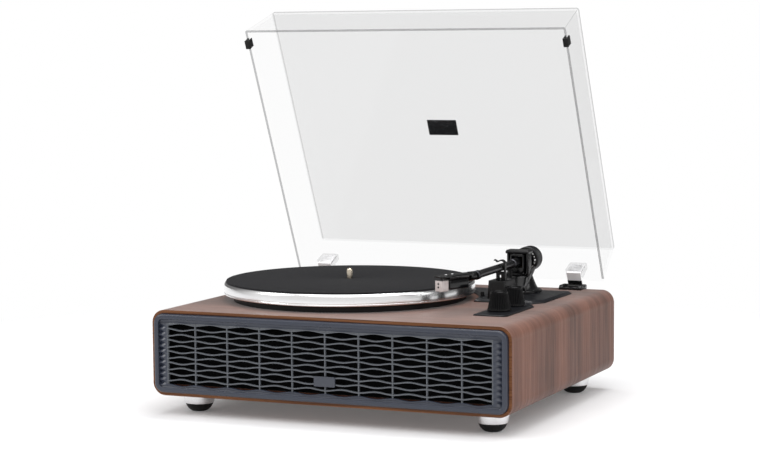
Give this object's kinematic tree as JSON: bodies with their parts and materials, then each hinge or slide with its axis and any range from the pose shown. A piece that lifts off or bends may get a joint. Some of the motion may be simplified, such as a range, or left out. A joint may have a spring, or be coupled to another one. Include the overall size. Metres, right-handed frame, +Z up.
{
  "type": "record player",
  "caption": "Record player with loudspeakers in its wooden plinth, a belt-driven platter, a straight tone arm with a counterweight, turning knobs and a clear hinged lid.",
  "frame": {"origin": "on the table, under the middle of the whole object's bounding box with its lid open", "axes": "+Z up, -Y towards the front grille, +X to the right seen from the front"},
  "size_m": [0.44, 0.4244, 0.4636],
  "materials": {
    "walnut": "satin veneer",
    "board": "painted black",
    "panel_board": "painted black",
    "grille_plastic": "satin",
    "badge_plastic": "gloss",
    "cloth": "woven, black",
    "foot_metal": "satin",
    "foot_rubber": "matt",
    "soft_rubber": "matt",
    "belt_rubber": "matt",
    "steel": "bright",
    "chromed": "polished",
    "black_metal": "satin black",
    "grey_metal": "satin",
    "magnet": "dull",
    "cone_paper": "matt black",
    "brass_parts": "satin",
    "circuit_board": "lacquered",
    "black_plastic": "satin",
    "gloss_black": "gloss",
    "plate_plastic": "satin",
    "knob_plastic": "satin",
    "arm_black": "satin",
    "tube_metal": "anodised dark grey",
    "stylus_plastic": "gloss",
    "weight_metal": "satin black",
    "dial_plastic": "satin",
    "platter_metal": "polished",
    "felt": "felt",
    "clear_plastic": "clear",
    "clear_socket": "clear"
  },
  "bodies": {
    "cabinet": {"cabinet_shell": "walnut", "front_baffle": "board", "front_grille": "grille_plastic", "grille_badge": "badge_plastic", "grille_cloth": "cloth", "foot_rings": "foot_metal", "foot_pads": "foot_rubber", "foot_screws": "steel", "speaker_baskets": "black_metal", "speaker_magnets": "magnet", "speaker_surrounds": "soft_rubber", "board_standoffs": "brass_parts", "amplifier_board": "circuit_board", "rear_panel": "panel_board", "output_jacks": "chromed", "power_inlet": "black_plastic", "wood_screws": "steel", "platter_skirt": "black_plastic", "bearing_housing": "grey_metal", "bearing_bush": "brass_parts", "drive_belt": "belt_rubber", "motor": "grey_metal", "arm_plate": "plate_plastic", "knob_plate": "plate_plastic", "potentiometers": "grey_metal", "speed_switch": "black_plastic", "arm_base": "arm_black", "arm_bush": "brass_parts", "arm_housing": "arm_black", "arm_housing_cap": "arm_black", "arm_rest_block": "arm_black", "arm_rest_clip": "black_plastic", "hinge_bases": "black_plastic", "hinge_pins": "steel"},
    "platter": {"platter": "platter_metal", "slipmat": "felt", "spindle": "steel"},
    "motor_pulley": {"motor_pulley": "brass_parts"},
    "arm_swivel": {"arm_yoke": "arm_black"},
    "tone_arm": {"arm_tube": "tube_metal", "arm_pivot_pins": "steel", "headshell": "black_plastic", "cartridge": "gloss_black", "stylus": "stylus_plastic"},
    "weight_insert": {"weight_insert": "brass_parts"},
    "counterweight": {"counterweight": "weight_metal"},
    "weight_dial": {"weight_dial": "dial_plastic"},
    "cue_lever": {"cue_lever": "black_metal"},
    "cue_platform": {"cue_platform": "black_plastic"},
    "knob_front": {"knob_front": "knob_plastic"},
    "knob_rear": {"knob_rear": "knob_plastic"},
    "speed_lever": {"speed_lever": "black_plastic"},
    "power_rocker": {"power_rocker": "gloss_black"},
    "speaker_cone_left": {"speaker_cone_left": "cone_paper"},
    "speaker_cone_right": {"speaker_cone_right": "cone_paper"},
    "lid": {"lid": "clear_plastic", "lid_plate": "badge_plastic", "lid_bumpers": "soft_rubber", "hinge_leaves": "black_metal", "hinge_sockets": "clear_socket"}
  },
  "joints": [
    {"name": "platter_spin", "type": "hinge", "parent": "cabinet", "child": "platter", "pos_m": [-0.0515, -0.0292, 0.13], "axis": [0, 0, 1], "continuous": true},
    {"name": "motor_spin", "type": "hinge", "parent": "cabinet", "child": "motor_pulley", "pos_m": [-0.15512, -0.10176, 0.13], "axis": [0, 0, 1], "continuous": true},
    {"name": "arm_swing", "type": "hinge", "parent": "cabinet", "child": "arm_swivel", "pos_m": [0.127, 0.0697, 0.1615], "axis": [0, 0, 1], "range_deg": [-40, 0]},
    {"name": "arm_lift", "type": "hinge", "parent": "arm_swivel", "child": "tone_arm", "pos_m": [0.127, 0.0697, 0.1615], "axis": [-0.9994, -0.0349, 0], "range_deg": [0, 1.9]},
    {"name": "weight_turn", "type": "hinge", "parent": "tone_arm", "child": "weight_insert", "pos_m": [0.127, 0.0697, 0.1615], "axis": [-0.0349, 0.9994, 0], "range_deg": [0, 1440]},
    {"name": "weight_slide", "type": "slide", "parent": "weight_insert", "child": "counterweight", "axis": [-0.0349, 0.9994, 0], "range_m": [0, 0.006]},
    {"name": "dial_turn", "type": "hinge", "parent": "counterweight", "child": "weight_dial", "pos_m": [0.127, 0.0697, 0.1615], "axis": [-0.0349, 0.9994, 0], "continuous": true},
    {"name": "cue_lever_turn", "type": "hinge", "parent": "cabinet", "child": "cue_lever", "pos_m": [0.146, 0.03622, 0.133], "axis": [1, 0, 0], "range_deg": [0, 70]},
    {"name": "cue_platform_slide", "type": "slide", "parent": "cabinet", "child": "cue_platform", "axis": [0, 0, 1], "range_m": [0, 0.0013]},
    {"name": "knob_front_turn", "type": "hinge", "parent": "cabinet", "child": "knob_front", "pos_m": [0.163, -0.0938, 0.13], "axis": [0, 0, 1], "range_deg": [-140, 140]},
    {"name": "knob_rear_turn", "type": "hinge", "parent": "cabinet", "child": "knob_rear", "pos_m": [0.163, -0.0468, 0.13], "axis": [0, 0, 1], "range_deg": [-140, 140]},
    {"name": "speed_lever_slide", "type": "slide", "parent": "cabinet", "child": "speed_lever", "axis": [0, 1, 0], "range_m": [-0.004, 0.004]},
    {"name": "power_rocker_tilt", "type": "hinge", "parent": "cabinet", "child": "power_rocker", "pos_m": [0.14, 0.1431, 0.0821], "axis": [1, 0, 0], "range_deg": [0, 18]},
    {"name": "speaker_left_move", "type": "slide", "parent": "cabinet", "child": "speaker_cone_left", "axis": [0, 1, 0], "range_m": [-0.0015, 0.0015], "stiffness_N_per_m": 3000},
    {"name": "speaker_right_move", "type": "slide", "parent": "cabinet", "child": "speaker_cone_right", "axis": [0, 1, 0], "range_m": [-0.0015, 0.0015], "stiffness_N_per_m": 3000},
    {"name": "lid_hinge", "type": "hinge", "parent": "cabinet", "child": "lid", "pos_m": [0, 0.154, 0.1236], "axis": [1, 0, 0], "range_deg": [0, 64.9]}
  ],
  "couplings": [
    {"joint": "motor_spin", "follows": "platter_spin", "ratio": 21.071},
    {"joint": "cue_lever_turn", "follows": "arm_lift", "ratio": 36.842},
    {"joint": "cue_platform_slide", "follows": "arm_lift", "m_per_rad": 0.0392},
    {"joint": "weight_slide", "follows": "weight_turn", "m_per_rad": 0.00023873}
  ]
}
